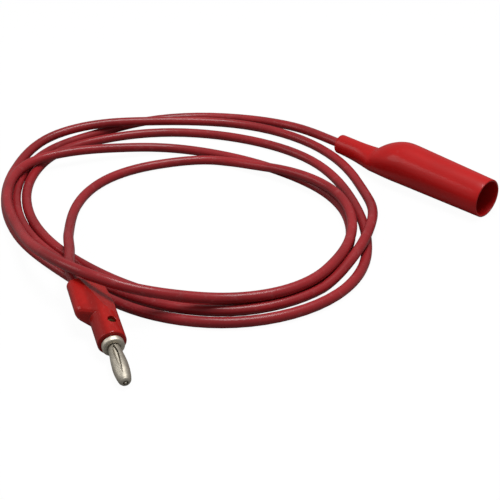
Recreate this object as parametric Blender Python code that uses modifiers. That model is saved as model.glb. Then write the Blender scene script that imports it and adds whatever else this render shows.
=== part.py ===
"""Banana plug patch cord, modelled in metres with +Z up.

A thin flexible lead lies in four loose turns. One end enters the side boss of a
moulded banana plug, and the other ends in an alligator clip inside a flexible boot.
The boot lies along +X with its mouth towards +X, and the clip's hinge runs along Y.
"""

import math

import bmesh
import bpy
import numpy as np
from mathutils import Matrix, Vector

MM = 0.001
FIT_GAP = 0.3 * MM  # between pieces that touch
THREAD_GAP = 0.2 * MM  # between a screw and its hole
ROUND_STEPS = 32  # sides of the larger round pieces
SMALL_STEPS = 20  # sides of the small round pieces

# The cord, its bared wire and the place of its coil
CORD_DIAMETER = 3.6 * MM
WIRE_DIAMETER = 1.2 * MM
COIL_CENTRE = Vector((-37.5, -4.12)) * MM
FLOOR = CORD_DIAMETER / 2 / MM  # height of the centreline where the cord lies on the floor
# The turns seen from above, from the boot to the plug: degrees round the coil's
# centre, then the radius and the height of the centreline in millimetres.
TURNS = (
    (105, 84.2, 3.6),
    (120, 87.2, 2.3),
    (150, 86.5, FLOOR),
    (165, 82.6, FLOOR),
    (180, 80.9, FLOOR),
    (195, 75.2, FLOOR),
    (210, 67.6, FLOOR),
    (240, 55.5, FLOOR),
    (270, 50.3, FLOOR),
    (300, 54.2, FLOOR),
    (330, 61.4, FLOOR),
    (360, 64.6, FLOOR),
    (375, 64.3, 4.1),
    (383, 64.6, 5.4),
    (391, 64.9, 6.0),
    (404, 65.8, 5.1),
    (420, 67.2, 2.5),
    (450, 75.1, FLOOR),
    (480, 81.0, 2.3),
    (510, 79.6, 4.9),
    (525, 83.0, 5.7),
    (540, 86.2, 4.0),
    (555, 80.0, FLOOR),
    (570, 71.7, FLOOR),
    (600, 59.5, FLOOR),
    (630, 54.2, FLOOR),
    (660, 59.9, FLOOR),
    (690, 67.9, FLOOR),
    (720, 70.7, FLOOR),
    (735, 68.5, FLOOR),
    (750, 64.7, FLOOR),
    (780, 61.3, FLOOR),
    (810, 65.4, FLOOR),
    (840, 69.1, FLOOR),
    (870, 74.4, FLOOR),
    (885, 76.2, FLOOR),
    (900, 76.7, FLOOR),
    (915, 70.9, FLOOR),
    (930, 63.4, FLOOR),
    (960, 51.5, FLOOR),
    (990, 46.5, FLOOR),
    (1020, 49.4, FLOOR),
    (1050, 57.3, FLOOR),
    (1080, 60.4, FLOOR),
    (1110, 58.8, FLOOR),
    (1140, 55.0, FLOOR),
    (1170, 50.4, FLOOR),
    (1200, 51.7, FLOOR),
    (1230, 58.6, 2.6),
    (1245, 61.4, 4.1),
    (1260, 66.8, 5.5),
    (1275, 73.1, 5.6),
    (1290, 70.0, 5.6),
    (1305, 64.4, 5.7),
    (1320, 60.2, 6.6),
    (1335, 60.1, 9.9),
    (1350, 61.8, 13.1),
    (1362, 63.9, 14.8),
    (1370, 64.8, 14.8),
    (1380, 64.5, 13.0),
    (1394, 61.3, 9.0),
    (1408, 59.7, 5.8),
    (1425, 61.9, 5.1),
    (1440, 62.3, 5.1),
    (1448, 61.5, 5.3),
    (1456, 60.7, 5.4),
    (1470, 59.2, 5.6),
    (1485, 57.2, 5.7),
    (1500, 54.4, 5.7),
    (1515, 50.3, 5.5),
    (1530, 47.3, 4.5),
    (1545, 46.3, 3.0),
    (1560, 47.4, FLOOR),
    (1590, 45.4, FLOOR),
    (1620, 44.8, FLOOR),
    (1650, 42.8, FLOOR),
    (1670, 42.3, 2.0),
    (1682, 43.2, 3.6),
    (1692, 45.2, 5.7),
    (1705, 49.8, 7.4),
)
# Where the plain tube takes its points along each turn, in degrees
TUBE_STATIONS = (4, 20, 37, 62, 92, 122, 148, 167, 182, 198, 210, 222, 236, 252, 268, 284, 296, 315, 338)

# The plug: its front face is its own origin, its nose points along its own +X
PLUG_PLACE = Vector((6.05, -74.57, 4.6)) * MM
PLUG_HEADING = math.radians(-26.5)
PLUG_PITCH = math.radians(8)  # nose down
PLUG_ROLL = math.radians(-12)  # cord boss raised
BODY_DIAMETER = 9.0 * MM
BODY_LENGTH = 23.5 * MM
BOSS_DIAMETER = 5.6 * MM
BOSS_OFFSET = 5.6 * MM
BOSS_REAR = 28.0 * MM
BOSS_LENGTH = 16.0 * MM
BOSS_SLANT = 0.6  # the boss's front reaches further ahead near the body
BOSS_EDGE = 1.5 * MM
CORD_SEAT = 10.0 * MM  # how far the cord goes into the boss
SHANK_DIAMETER = 5.0 * MM
SHANK_LENGTH = 14.5 * MM
COLLAR_DIAMETER = 6.9 * MM
COLLAR_LENGTH = 1.8 * MM
RECESS_DIAMETER = 4.6 * MM  # in the collar's face, where the spring's rear ring sits
RECESS_DEPTH = 0.5 * MM
STUD_DIAMETER = 2.2 * MM
PIN_LENGTH = 15.2 * MM  # from the collar's front face to the tip
SPRING_DIAMETER = 5.1 * MM
SPRING_RING_DIAMETER = 3.5 * MM
SPRING_WALL = 0.35 * MM
SPRING_SLOTS = 4
SLOT_WIDTH = 1.5 * MM
NOSE_LENGTH = 1.8 * MM  # the closed front of the spring
TIP_HOLE = 1.6 * MM  # in the spring's nose, round the stud's peened tip
SCREW_STATION = 6.1 * MM  # behind the front face
SCREW_DIAMETER = 2.2 * MM
SCREW_HOLE_DIAMETER = 2.8 * MM
SCREW_DEPTH = 0.9 * MM  # of the screw's head below the body's skin
SCREW_LEAN = math.radians(-8)  # away from the boss

# The boot, measured from the end of its neck
BOOT_END = Vector((-35.1, 75.38, 0)) * MM
BOOT_LENGTH = 70.2 * MM
BOOT_WALL = 0.8 * MM
NECK_DIAMETER = 7.6 * MM
NECK_LENGTH = 19.0 * MM
NECK_HEIGHT = 5.3 * MM
SPREAD_START = 8.0 * MM  # where the neck's sides begin to spread
HUMP_START = NECK_LENGTH - 0.7 * MM  # of the rise along the top
HUMP_LENGTH = 17.5 * MM
BULGE_START = NECK_LENGTH + 12.0 * MM  # where the sides are widest
BULGE_DIAMETER = 16.4 * MM
MOUTH_DIAMETER = 14.4 * MM

# The clip, measured from its hinge
PIVOT_STATION = NECK_LENGTH + 18.5 * MM  # from the end of the boot's neck
PIVOT_HEIGHT = 7.3 * MM
PIVOT_DIAMETER = 1.8 * MM
PIVOT_CLEARANCE = 0.1 * MM
SHEET = 0.7 * MM
JAW_LENGTH = 25.5 * MM
JAW_REAR = 7.5 * MM
JAW_WIDTH = 7.6 * MM
TIP_WIDTH = 4.6 * MM
JAW_LINE = -1.5 * MM  # where the jaws meet, below the hinge
EAR_RADIUS = 1.9 * MM
CROWN_HEIGHT = 3.4 * MM  # of the upper jaw, over the hinge
TAIL_LENGTH = 9.7 * MM
TAIL_RISE = 2.4 * MM
TIP_EDGE = 0.2 * MM  # by which the tail and the nose are cut back
TOOTH_PITCH = 2.0 * MM
TOOTH_HEIGHT = 0.9 * MM
TEETH = 9
BARREL_DIAMETER = 4.8 * MM
BARREL_REAR = 22.0 * MM
BARREL_LENGTH = 11.0 * MM
CLIP_SCREW_STATION = 13.2 * MM
COIL_RADIUS = 1.7 * MM
COIL_WIRE = 0.6 * MM
COIL_TURNS = 3


def clear_scene():
    for obj in list(bpy.data.objects):
        bpy.data.objects.remove(obj, do_unlink=True)


def add_collection(name):
    collection = bpy.data.collections.new(name)
    bpy.context.scene.collection.children.link(collection)
    return collection


def add_material(name, colour, roughness, metallic=0.0):
    material = bpy.data.materials.new(name)
    material.use_nodes = True
    shader = material.node_tree.nodes["Principled BSDF"]
    shader.inputs["Base Color"].default_value = (*colour, 1)
    shader.inputs["Roughness"].default_value = roughness
    shader.inputs["Metallic"].default_value = metallic
    material.diffuse_color = (*colour, 1)
    return material


def add_object(name, data, collection, parent=None):
    obj = bpy.data.objects.new(name, data)
    collection.objects.link(obj)
    obj.parent = parent
    return obj


def finish(obj, material, smooth_angle=math.radians(35)):
    """Gives a piece its material and shades its round faces smooth."""
    obj.data.materials.clear()
    obj.data.materials.append(material)
    obj.data.shade_smooth()
    obj.data.set_sharp_from_angle(angle=smooth_angle)
    return obj


def as_cutter(obj):
    obj.hide_render = True
    obj.display_type = "WIRE"
    return obj


def mesh_from(build):
    """A mesh filled by a function that works on a bmesh."""
    shape = bmesh.new()
    build(shape)
    mesh = bpy.data.meshes.new("shape")
    shape.to_mesh(mesh)
    shape.free()
    return mesh


def rod_mesh(radius, start, end, steps=ROUND_STEPS, edge=0.0, end_radius=None):
    """A round bar along X from start to end, with its end edges rounded by edge."""

    def build(shape):
        bmesh.ops.create_cone(
            shape,
            cap_ends=True,
            segments=steps,
            radius1=radius,
            radius2=radius if end_radius is None else end_radius,
            depth=end - start,
        )
        if edge:
            rims = [e for e in shape.edges if abs(e.verts[0].co.z - e.verts[1].co.z) < 1e-7]
            bmesh.ops.bevel(
                shape, geom=rims, offset=edge, segments=3, profile=0.5, affect="EDGES", material=-1
            )
        turn = Matrix.Rotation(math.pi / 2, 4, "Y")
        shape.transform(Matrix.Translation(((start + end) / 2, 0, 0)) @ turn)

    return mesh_from(build)


def turned_object(name, profile, steps, collection, parent):
    """A turned piece round its own X axis: the profile lists (x, radius) from front to back."""
    mesh = bpy.data.meshes.new(name)
    points = [(radius, 0, x) for x, radius in profile]
    mesh.from_pydata(points, [(i, i + 1) for i in range(len(points) - 1)], [])
    obj = add_object(name, mesh, collection, parent)
    obj.rotation_euler = (0, math.pi / 2, 0)
    screw = obj.modifiers.new("turn", "SCREW")
    screw.steps = steps
    screw.render_steps = steps
    screw.use_merge_vertices = True
    screw.merge_threshold = 0.00001
    return obj


def applied(obj):
    """Replaces an object's modifiers, or its curve, by the mesh that they make."""
    bpy.context.view_layer.update()
    graph = bpy.context.evaluated_depsgraph_get()
    mesh = bpy.data.meshes.new_from_object(obj.evaluated_get(graph))
    shape = bmesh.new()
    shape.from_mesh(mesh)
    bmesh.ops.remove_doubles(shape, verts=shape.verts, dist=0.000001)
    bmesh.ops.recalc_face_normals(shape, faces=shape.faces)
    shape.to_mesh(mesh)
    shape.free()
    name = obj.name
    collection = obj.users_collection[0]
    parent = obj.parent
    place = obj.matrix_basis.copy()
    bpy.data.objects.remove(obj, do_unlink=True)
    solid = add_object(name, mesh, collection, parent)
    solid.matrix_basis = place
    return solid


def combine(obj, other, operation):
    """Cuts another object from this one, or joins it to this one."""
    modifier = obj.modifiers.new(operation.lower(), "BOOLEAN")
    modifier.operation = operation
    modifier.solver = "EXACT"
    modifier.object = as_cutter(other)
    return obj


def tube_object(name, points, diameter, collection, parent=None, resolution=2):
    """A round tube with flat ends through the given points."""
    curve = bpy.data.curves.new(name, "CURVE")
    curve.dimensions = "3D"
    curve.bevel_depth = diameter / 2
    curve.bevel_resolution = resolution
    curve.use_fill_caps = True
    spline = curve.splines.new("POLY")
    spline.points.add(len(points) - 1)
    for target, point in zip(spline.points, points):
        target.co = (*point, 1)
    return add_object(name, curve, collection, parent)


def outline_object(name, outline, half_width, collection, parent):
    """A flat outline in the X-Z plane, as thick as twice half_width along Y."""
    curve = bpy.data.curves.new(name, "CURVE")
    curve.dimensions = "2D"
    curve.fill_mode = "BOTH"
    curve.extrude = half_width
    spline = curve.splines.new("POLY")
    spline.points.add(len(outline) - 1)
    for target, (x, z) in zip(spline.points, outline):
        target.co = (x, z, 0, 1)
    spline.use_cyclic_u = True
    obj = add_object(name, curve, collection, parent)
    obj.rotation_euler = (math.pi / 2, 0, 0)
    return applied(obj)


def smooth_line(points, per_span):
    """Points along a cubic spline through the given points, with its knots a chord apart."""
    points = np.array(points, float)
    knots = np.concatenate([[0], np.cumsum(np.linalg.norm(np.diff(points, axis=0), axis=1))])
    spans = np.diff(knots)
    count = len(points)
    slopes = np.diff(points, axis=0) / spans[:, None]
    matrix = np.eye(count)
    right = np.zeros((count, 3))
    for i in range(1, count - 1):
        matrix[i, i - 1 : i + 2] = spans[i - 1], 2 * (spans[i - 1] + spans[i]), spans[i]
        right[i] = 6 * (slopes[i] - slopes[i - 1])
    bend = np.linalg.solve(matrix, right)
    line = []
    for i, span in enumerate(spans):
        for step in range(per_span):
            t = step / per_span
            cubic = (t**3 - t) * bend[i + 1] + ((1 - t) ** 3 - (1 - t)) * bend[i]
            line.append((1 - t) * points[i] + t * points[i + 1] + cubic * span**2 / 6)
    line.append(points[-1])
    line = np.array(line)
    line[:, 2] = np.maximum(line[:, 2], CORD_DIAMETER / 2)
    return line


def plug_matrix():
    turn = Matrix.Rotation(PLUG_HEADING, 4, "Z") @ Matrix.Rotation(PLUG_PITCH, 4, "Y")
    return Matrix.Translation(PLUG_PLACE) @ turn @ Matrix.Rotation(PLUG_ROLL, 4, "X")


def boot_point(station, height):
    return BOOT_END + Vector((station, 0, height))


def coil_point(degrees, radius, height):
    angle = math.radians(degrees)
    flat = COIL_CENTRE + Vector((math.cos(angle), math.sin(angle))) * radius * MM
    return Vector((flat.x, flat.y, height * MM))


def cord_route():
    """The cord's whole route: out of the boot's neck, round the turns and into the plug's boss."""
    barrel_mouth = PIVOT_STATION - BARREL_REAR
    inside = [barrel_mouth - 2 * MM, barrel_mouth / 2, 0, -4 * MM]
    neck = [boot_point(s, NECK_HEIGHT) for s in inside]
    turns = [coil_point(*turn) for turn in TURNS]
    stations = [BOSS_REAR + 7 * MM, BOSS_REAR, BOSS_REAR - CORD_SEAT / 2, BOSS_REAR - CORD_SEAT]
    boss = [plug_matrix() @ Vector((-s, -BOSS_OFFSET, 0)) for s in stations]
    return neck + turns + boss


def cord_tube_points():
    """The tube's points: both straight ends, and the turns at the same angles on every turn."""
    line = smooth_line(cord_route(), 24)
    offsets = line[:, :2] - np.array(COIL_CENTRE)
    angles = np.degrees(np.unwrap(np.arctan2(offsets[:, 1], offsets[:, 0])))
    first = np.argmax(angles > 93)
    last = np.argmax(angles > 1716)
    stations = [
        turn * 360 + station
        for turn in range(6)
        for station in TUBE_STATIONS
        if angles[first] < turn * 360 + station < angles[last]
    ]
    middle = [[np.interp(a, angles, line[:, k]) for k in range(3)] for a in stations]
    return [*line[:first:24], line[first], *middle, line[last], *line[last + 16 : -12 : 16], line[-1]]


def add_cord(parts, red):
    cord = tube_object("cord", cord_tube_points(), CORD_DIAMETER, parts)
    cord.data.materials.append(red)


def wire_channel(collection, parent, diameter, name):
    """The bent way of the bared wire, from the boss to under the clamping screw."""
    cord_end = BOSS_REAR - CORD_SEAT
    points = [
        (-cord_end + FIT_GAP, -BOSS_OFFSET, 0),
        (-cord_end + 1 * MM, -BOSS_OFFSET, 0),
        (-cord_end + 2.2 * MM, -BOSS_OFFSET + 0.5 * MM, 0),
        (-SHANK_LENGTH + 0.8 * MM, -SHANK_DIAMETER / 2 - 0.6 * MM, 0),
        (-SHANK_LENGTH + 3 * MM, -SHANK_DIAMETER / 2 + 0.8 * MM, 0),
        (-SCREW_STATION - 2 * MM, -0.3 * MM, 0),
        (-SCREW_STATION, 0, 0),
        (-SCREW_STATION + 1 * MM, 0, 0),
    ]
    return tube_object(name, points, diameter, collection, parent)


def add_plug_body(parts, cutters, frame, red):
    body = add_object(
        "plug_body",
        rod_mesh(BODY_DIAMETER / 2, -BODY_LENGTH, 0, ROUND_STEPS + 8, edge=0.4 * MM),
        parts,
        frame,
    )
    front = -BOSS_REAR + BOSS_LENGTH

    def build_side(shape):
        """The cord boss and its web: one skin round the boss's circle and the body's."""
        circles = [(0, BODY_DIAMETER / 2 - 0.1 * MM), (-BOSS_OFFSET, BOSS_DIAMETER / 2)]
        ends = ((-BOSS_REAR, 0, 0.5 * MM), (front, BOSS_SLANT, BOSS_EDGE))
        for x, slant, edge in ends:
            for across, radius in circles:
                for i in range(ROUND_STEPS):
                    angle = 2 * math.pi * i / ROUND_STEPS
                    side = across + radius * math.cos(angle)
                    station = x + slant * (side + BOSS_OFFSET)
                    shape.verts.new((station, side, radius * math.sin(angle)))
        skin = bmesh.ops.convex_hull(shape, input=shape.verts)
        inside = [v for v in skin["geom_interior"] if isinstance(v, bmesh.types.BMVert)]
        bmesh.ops.delete(shape, geom=inside, context="VERTS")
        bmesh.ops.dissolve_limit(
            shape, angle_limit=0.01, verts=shape.verts, edges=shape.edges, use_dissolve_boundaries=False
        )
        for x, slant, edge in ends:
            rim = []
            for line in shape.edges:
                if all(abs(v.co.x - x - slant * (v.co.y + BOSS_OFFSET)) < 1e-7 for v in line.verts):
                    rim.append(line)
            bmesh.ops.bevel(
                shape, geom=rim, offset=edge, segments=3, profile=0.5, affect="EDGES", material=-1
            )
        bmesh.ops.recalc_face_normals(shape, faces=shape.faces)

    side = add_object("side_form", mesh_from(build_side), cutters, frame)
    combine(body, side, "UNION")

    def build_slope(shape):
        """A block whose underside is the oblique facet across the body's rear top."""
        size = 40 * MM
        bmesh.ops.create_cube(shape, size=size)
        bmesh.ops.translate(shape, verts=shape.verts, vec=(0, 0, size / 2))
        normal = Vector((-0.2, 0.37, 0.91)).normalized()
        tilt = Vector((0, 0, 1)).rotation_difference(normal).to_matrix().to_4x4()
        corner = Vector((-BOSS_REAR + 2 * MM, -4 * MM, BOSS_DIAMETER / 2 + 0.2 * MM))
        shape.transform(Matrix.Translation(corner) @ tilt)

    combine(body, add_object("slope_cutter", mesh_from(build_slope), cutters, frame), "DIFFERENCE")
    bore = rod_mesh(SHANK_DIAMETER / 2 + FIT_GAP, -SHANK_LENGTH - FIT_GAP, 1 * MM)
    combine(body, add_object("shank_bore", bore, cutters, frame), "DIFFERENCE")
    bottom = -BOSS_REAR + CORD_SEAT + 2 * FIT_GAP
    seat = rod_mesh(CORD_DIAMETER / 2 + FIT_GAP, -BOSS_REAR - 1 * MM, bottom)
    seat.transform(Matrix.Translation((0, -BOSS_OFFSET, 0)))
    combine(body, add_object("cord_bore", seat, cutters, frame), "DIFFERENCE")
    hole = rod_mesh(SCREW_HOLE_DIAMETER / 2, 1 * MM, BODY_DIAMETER, SMALL_STEPS)
    lean = Matrix.Rotation(SCREW_LEAN, 4, "X") @ Matrix.Translation((-SCREW_STATION, 0, 0))
    hole.transform(lean @ Matrix.Rotation(-math.pi / 2, 4, "Y"))
    combine(body, add_object("screw_bore", hole, cutters, frame), "DIFFERENCE")
    channel = applied(wire_channel(cutters, frame, WIRE_DIAMETER + 2 * FIT_GAP, "wire_bore"))
    combine(body, channel, "DIFFERENCE")
    return finish(applied(body), red), channel


def add_plug_core(parts, cutters, frame, nickel, channel):
    """The turned brass core: shank, collar, stud and the peened tip that holds the spring."""
    collar_back = FIT_GAP
    collar_front = collar_back + COLLAR_LENGTH
    tip = collar_front + PIN_LENGTH
    shank = SHANK_DIAMETER / 2
    collar = COLLAR_DIAMETER / 2
    stud = STUD_DIAMETER / 2
    profile = [
        (tip, 0),
        (tip - 0.1 * MM, TIP_HOLE / 2 - FIT_GAP - 0.2 * MM),
        (tip - 0.4 * MM, TIP_HOLE / 2 - FIT_GAP),
        (tip - NOSE_LENGTH, TIP_HOLE / 2 - FIT_GAP),
        (tip - NOSE_LENGTH - 0.6 * MM, stud),
        (collar_front - RECESS_DEPTH, stud),
        (collar_front - RECESS_DEPTH, RECESS_DIAMETER / 2),
        (collar_front, RECESS_DIAMETER / 2),
        (collar_front, collar - 0.4 * MM),
        (collar_front - 0.4 * MM, collar),
        (collar_back + 0.2 * MM, collar),
        (collar_back, collar - 0.2 * MM),
        (collar_back, shank),
        (-SHANK_LENGTH + 0.4 * MM, shank),
        (-SHANK_LENGTH, shank - 0.4 * MM),
        (-SHANK_LENGTH, 0),
    ]
    core = applied(turned_object("plug_core", profile, ROUND_STEPS, parts, frame))
    combine(core, channel, "DIFFERENCE")
    thread = rod_mesh(SCREW_DIAMETER / 2 + THREAD_GAP, 0, SHANK_DIAMETER, SMALL_STEPS)
    lean = Matrix.Rotation(SCREW_LEAN, 4, "X") @ Matrix.Translation((-SCREW_STATION, 0, 0))
    thread.transform(lean @ Matrix.Rotation(-math.pi / 2, 4, "Y"))
    combine(core, add_object("thread_bore", thread, cutters, frame), "DIFFERENCE")
    return finish(applied(core), nickel)


def add_contact_spring(parts, cutters, frame, nickel):
    """The leaf cage round the stud: two rings joined by bowed leaves with tapered slots between."""
    rear = FIT_GAP + COLLAR_LENGTH - RECESS_DEPTH + FIT_GAP
    front = FIT_GAP + COLLAR_LENGTH + PIN_LENGTH - 0.2 * MM
    ring = SPRING_RING_DIAMETER / 2
    belly = SPRING_DIAMETER / 2
    hole = TIP_HOLE / 2
    outside = []
    steps = 12
    for i in range(steps + 1):
        along = i / steps
        bow = math.sin(math.pi * (along**0.85 + 0.05) / 1.05)
        x = front - NOSE_LENGTH + 0.9 * MM + (rear - front + NOSE_LENGTH - 0.9 * MM) * along
        outside.append((x, ring + (belly - ring) * bow))
    nose = outside[0][1]
    bend = front - outside[0][0]
    inside = [(x, radius - SPRING_WALL) for x, radius in reversed(outside)]
    rounded = [
        (outside[0][0] + bend * math.sin(t), hole + (nose - hole) * math.cos(t))
        for t in (math.pi / 2, math.pi / 3, math.pi / 6)
    ]
    inner_nose = [
        (inside[-1][0] + (bend - SPRING_WALL) * math.sin(t), hole + (inside[-1][1] - hole) * math.cos(t))
        for t in (math.pi / 6, math.pi / 3, math.pi / 2)
    ]
    outside = rounded + outside
    inside = inside + inner_nose
    profile = outside + inside + outside[:1]
    spring = applied(turned_object("contact_spring", profile, ROUND_STEPS + 8, parts, frame))
    length = front - NOSE_LENGTH - rear
    for number in range(SPRING_SLOTS // 2):
        half = SLOT_WIDTH / 2
        outline = [
            (rear + 0.06 * length, 0.25 * half),
            (rear + 0.14 * length, 0.6 * half),
            (rear + 0.25 * length, half),
            (rear + 0.4 * length, half),
            (rear + 0.6 * length, 0.75 * half),
            (rear + 0.8 * length, 0.4 * half),
            (rear + 0.93 * length, 0.12 * half),
        ]
        outline += [(x, -z) for x, z in reversed(outline)]
        slot = outline_object(f"leaf_slot_{number}", outline, SPRING_DIAMETER, cutters, frame)
        quarter = math.radians(20) + number * 2 * math.pi / SPRING_SLOTS
        slot.data.transform(slot.matrix_basis)
        slot.matrix_basis = Matrix.Rotation(quarter, 4, "X")
        combine(spring, slot, "DIFFERENCE")
    return finish(applied(spring), nickel)


def slotted_screw(
    name, radius, bottom, top, station, slot, parts, cutters, frame, material, lean=0.0
):
    """A headless or headed screw along +Z with a driver slot in its top."""
    mesh = rod_mesh(radius, bottom, top, SMALL_STEPS)
    upright = Matrix.Translation((station, 0, 0)) @ Matrix.Rotation(-math.pi / 2, 4, "Y")
    mesh.transform(upright)
    screw = add_object(name, mesh, parts, frame)

    def build_slot(shape):
        bmesh.ops.create_cube(shape, size=1)
        bmesh.ops.scale(shape, verts=shape.verts, vec=(slot, radius * 4, slot * 2.4))
        bmesh.ops.translate(shape, verts=shape.verts, vec=(station, 0, top))

    groove = add_object(f"{name}_slot", mesh_from(build_slot), cutters, frame)
    for piece in (screw, groove):
        piece.matrix_basis = Matrix.Rotation(lean, 4, "X")
    combine(screw, groove, "DIFFERENCE")
    return finish(applied(screw), material)


def add_plug(parts, cutters, finishes):
    frame = add_object("plug_frame", None, parts)
    frame.matrix_world = plug_matrix()
    bpy.context.view_layer.update()
    body, channel = add_plug_body(parts, cutters, frame, finishes["moulding"])
    add_plug_core(parts, cutters, frame, finishes["nickel"], channel)
    add_contact_spring(parts, cutters, frame, finishes["nickel"])
    bottom = WIRE_DIAMETER / 2 + FIT_GAP
    top = BODY_DIAMETER / 2 - SCREW_DEPTH
    slotted_screw(
        "clamp_screw",
        SCREW_DIAMETER / 2,
        bottom,
        top,
        -SCREW_STATION,
        0.45 * MM,
        parts,
        cutters,
        frame,
        finishes["brass"],
        SCREW_LEAN,
    )
    wire = applied(wire_channel(parts, frame, WIRE_DIAMETER, "plug_conductor"))
    finish(wire, finishes["copper"])


def ring_points(station, height, half_width, half_height, steps):
    turn = 2 * math.pi / steps
    return [
        (station, half_width * math.sin(i * turn), height + half_height * math.cos(i * turn))
        for i in range(steps)
    ]


def eased(value, low, high):
    """From 0 at low to 1 at high, with a slow start and a slow end."""
    t = min(max((value - low) / (high - low), 0), 1)
    return t * t * (3 - 2 * t)


def boot_section(station):
    """One outer section: (station, centre height, half width, half height)."""
    neck = NECK_DIAMETER / 2
    taper = min(max((station - BULGE_START) / (BOOT_LENGTH - BULGE_START), 0), 1)
    radius = (BULGE_DIAMETER + (MOUTH_DIAMETER - BULGE_DIAMETER) * taper) / 2
    across = neck + (radius - neck) * eased(station, SPREAD_START, BULGE_START)
    bottom = (NECK_HEIGHT - neck) * (1 - eased(station, 0, NECK_LENGTH))
    hump = min(max((station - HUMP_START) / HUMP_LENGTH, 0), 1)
    top = NECK_HEIGHT + neck + (2 * radius - NECK_HEIGHT - neck) * (1 - (1 - hump) ** 2.2)
    return station, (top + bottom) / 2, across, (top - bottom) / 2


def boot_sections():
    """Outer sections from the neck's end to the mouth, with both end edges rounded."""
    station, height, across, up = boot_section(0)
    sections = [(station, height, across - 0.5 * MM, up - 0.5 * MM), boot_section(0.5 * MM)]
    straight = 5
    for i in range(1, straight + 1):
        sections.append(boot_section(0.5 * MM + (HUMP_START - 0.5 * MM) * i / straight))
    for share in (0.08, 0.2, 0.34, 0.5, 0.7, 1.0):
        sections.append(boot_section(HUMP_START + HUMP_LENGTH * share))
    last = BOOT_LENGTH - 0.3 * MM
    start = HUMP_START + HUMP_LENGTH
    for i in range(1, 4):
        sections.append(boot_section(start + (last - start) * i / 3))
    station, height, across, up = sections[-1]
    sections.append((BOOT_LENGTH, height, across - 0.3 * MM, up - 0.3 * MM))
    return sections


def lofted_mesh(sections):
    """A closed body through rings at the given sections, capped at both ends."""

    def build(shape):
        steps = ROUND_STEPS
        loops = []
        for section in sections:
            verts = [shape.verts.new(point) for point in ring_points(*section, steps)]
            loops.append([shape.edges.new((verts[i], verts[(i + 1) % steps])) for i in range(steps)])
        for near, far in zip(loops, loops[1:]):
            bmesh.ops.bridge_loops(shape, edges=near + far)
        for loop in (loops[0], loops[-1]):
            bmesh.ops.contextual_create(shape, geom=loop)
        bmesh.ops.recalc_face_normals(shape, faces=shape.faces)

    return mesh_from(build)


def add_boot(parts, cutters, material):
    """The boot: a lofted body, hollowed by a second loft that follows it a wall inside."""
    outer = boot_sections()
    barrel_mouth = PIVOT_STATION - BARREL_REAR
    snug = CORD_DIAMETER / 2 + FIT_GAP
    wide = BARREL_DIAMETER / 2 + FIT_GAP
    inner = [
        (-1 * MM, NECK_HEIGHT, snug, snug),
        (barrel_mouth - 1.5 * MM, NECK_HEIGHT, snug, snug),
        (barrel_mouth - 0.5 * MM, NECK_HEIGHT, wide, wide),
    ]
    for station, height, across, up in outer[6:-1]:
        inner.append((station, height, across - BOOT_WALL, up - BOOT_WALL))
    last = inner[-1]
    inner.append((BOOT_LENGTH + 1 * MM, *last[1:]))
    boot = add_object("clip_boot", lofted_mesh(outer), parts)
    hollow = add_object("boot_hollow", lofted_mesh(inner), cutters)
    for piece in (boot, hollow):
        piece.location = BOOT_END
    combine(boot, hollow, "DIFFERENCE")
    return finish(applied(boot), material)


def narrowed(obj, width):
    """Draws a jaw's sides together evenly from its rear to its tip, at one sheet thickness."""
    squeeze = (width - TIP_WIDTH) / 2
    for vert in obj.data.vertices:
        along = (vert.co.x + JAW_REAR) / (JAW_LENGTH + JAW_REAR)
        vert.co.y -= math.copysign(squeeze * along, vert.co.y)
    return obj


def toothed_edge(level, height, first):
    """A saw edge from the tip backwards along the given level."""
    points = []
    for i in range(TEETH):
        x = JAW_LENGTH - first - i * TOOTH_PITCH
        points.append((x, level))
        points.append((x - TOOTH_PITCH / 2, level + height))
    points.append((JAW_LENGTH - first - TEETH * TOOTH_PITCH, level))
    return points


def arc(centre, radius, start, end, steps):
    return [
        (
            centre[0] + radius * math.cos(math.radians(start + (end - start) * i / steps)),
            centre[1] + radius * math.sin(math.radians(start + (end - start) * i / steps)),
        )
        for i in range(steps + 1)
    ]


def folded_jaw(name, outline, hollow, width, parts, cutters, frame):
    """A channel of folded sheet: the outline as a block, less the hollow inside its walls."""
    block = outline_object(name, outline, width / 2, parts, frame)
    core = outline_object(f"{name}_hollow", hollow, width / 2 - SHEET, cutters, frame)
    for piece in (block, core):
        piece.data.transform(piece.matrix_basis)
        piece.matrix_basis = Matrix.Identity(4)
        narrowed(piece, width)
    combine(block, core, "DIFFERENCE")
    return block


def hinge_hole(cutters, frame):
    mesh = rod_mesh(PIVOT_DIAMETER / 2 + PIVOT_CLEARANCE, -JAW_WIDTH, JAW_WIDTH, SMALL_STEPS)
    mesh.transform(Matrix.Rotation(math.pi / 2, 4, "Z"))
    return add_object("hinge_bore", mesh, cutters, frame)


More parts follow.
